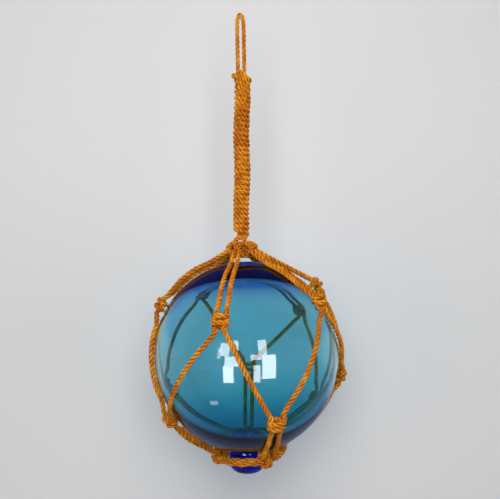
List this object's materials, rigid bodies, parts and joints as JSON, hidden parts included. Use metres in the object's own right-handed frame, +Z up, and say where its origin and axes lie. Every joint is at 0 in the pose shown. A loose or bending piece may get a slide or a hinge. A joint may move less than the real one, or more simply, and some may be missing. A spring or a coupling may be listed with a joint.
{
  "type": "glass float ball",
  "caption": "Blown glass float ball with a solid glass seal, in a knotted cord net that hangs from a wound cord with a loop.",
  "frame": {"origin": "inside top of the hanging loop, where the hook or line bears", "axes": "+Z up along the hanger, -Y towards the front of the net, +X to the right seen from the front"},
  "size_m": [0.1363, 0.1359, 0.3165],
  "materials": {
    "aqua_glass": "clear aqua blown glass, smooth and glossy, thicker and darker at both poles",
    "cobalt_glass": "deep cobalt glass, glossy, nearly opaque where it is thick",
    "twine": "three-strand laid natural twine, golden brown, matt, with short loose fibres"
  },
  "bodies": {
    "root": {"glass_ball": "aqua_glass", "seal_button": "cobalt_glass", "bottom_ring": "twine", "net_cord_1": "twine", "net_cord_2": "twine", "net_cord_3": "twine", "net_cord_4": "twine", "net_cord_5": "twine", "net_cord_6": "twine", "hanger_core": "twine", "hanger_winding": "twine", "hanging_loop": "twine"}
  },
  "joints": []
}
